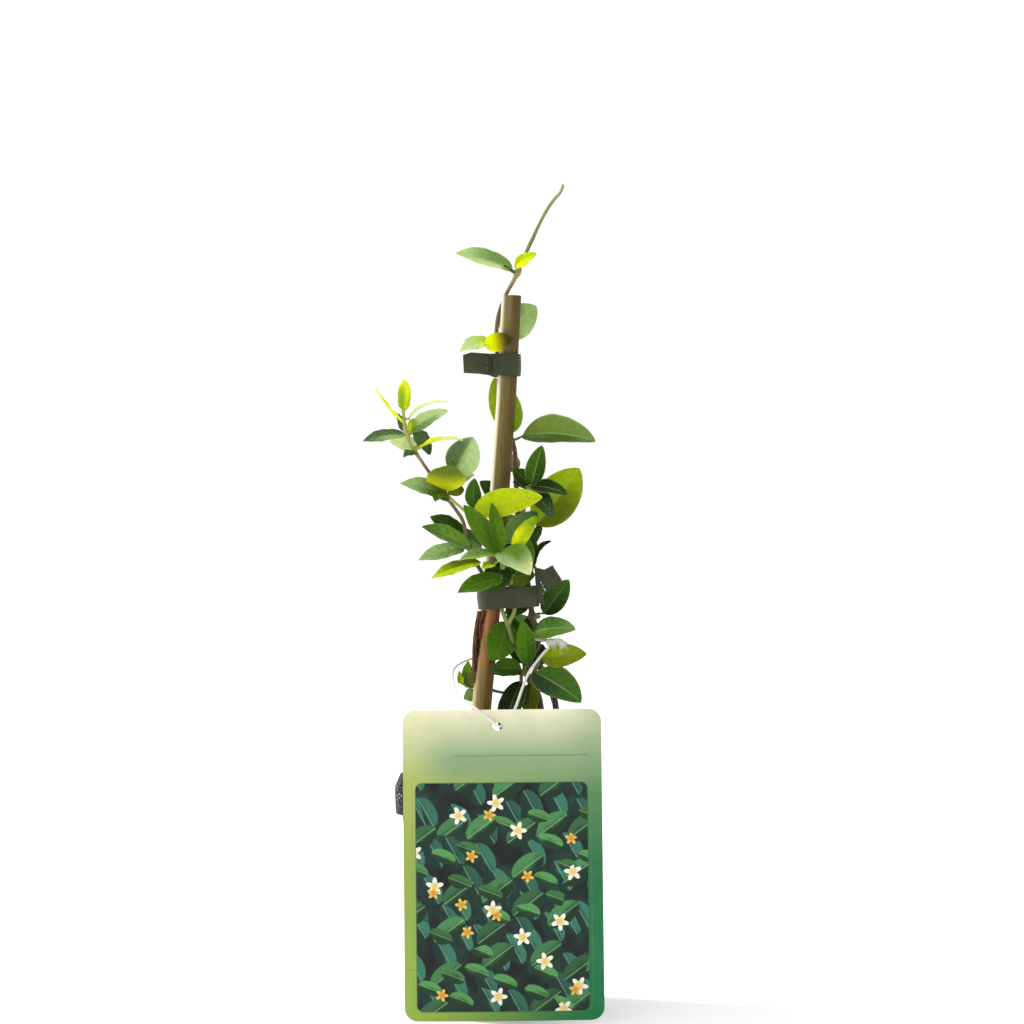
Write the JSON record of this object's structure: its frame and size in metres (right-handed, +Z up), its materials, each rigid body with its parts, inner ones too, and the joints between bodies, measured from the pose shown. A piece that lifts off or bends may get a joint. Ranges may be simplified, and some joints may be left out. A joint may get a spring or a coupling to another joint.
{
  "type": "potted honeysuckle vine",
  "caption": "Young twining climber with paired oval leaves, tied to a bamboo cane in a square black nursery pot, with a hanging picture label.",
  "frame": {"origin": "centre of the pot's underside, on the floor that the pot stands on", "axes": "+Z up, -Y towards the side that the label hangs on, +X to the right seen from that side; the cane leans towards +X"},
  "size_m": [0.1042, 0.0948, 0.3622],
  "materials": {
    "climber": "matt, green above and brown and woody below, with satin leaves",
    "leaf_bright": "satin, yellow-green and mid-green leaves on light green stems",
    "leaf_deep": "satin, deep green leaves with pale midribs",
    "leaf_low": "satin, mid-green and olive leaves",
    "bamboo": "satin grey-brown bamboo with darker streaks",
    "dry_sheath": "rough, fibrous, brown",
    "tie_tape": "satin soft dark green-grey tape",
    "staple_wire": "bright wire",
    "pot_plastic": "satin black",
    "potting_soil": "matt, crumbly, dark brown",
    "label": "smooth printed card in pale to dark green",
    "cotton": "matt white twine, frayed at its knot"
  },
  "bodies": {
    "root": {"vine_climbing_stem": "climber", "vine_front_shoots": "leaf_bright", "vine_right_shoot": "leaf_deep", "spray_base_left": "leaf_low", "spray_base_right": "leaf_low", "cane": "bamboo", "cane_sheath": "dry_sheath", "tie_upper": "tie_tape", "staple_upper": "staple_wire", "tie_lower": "tie_tape", "staple_lower": "staple_wire", "pot": "pot_plastic", "soil": "potting_soil", "label_card": "label", "label_string": "cotton", "string_knot": "cotton"}
  },
  "joints": []
}
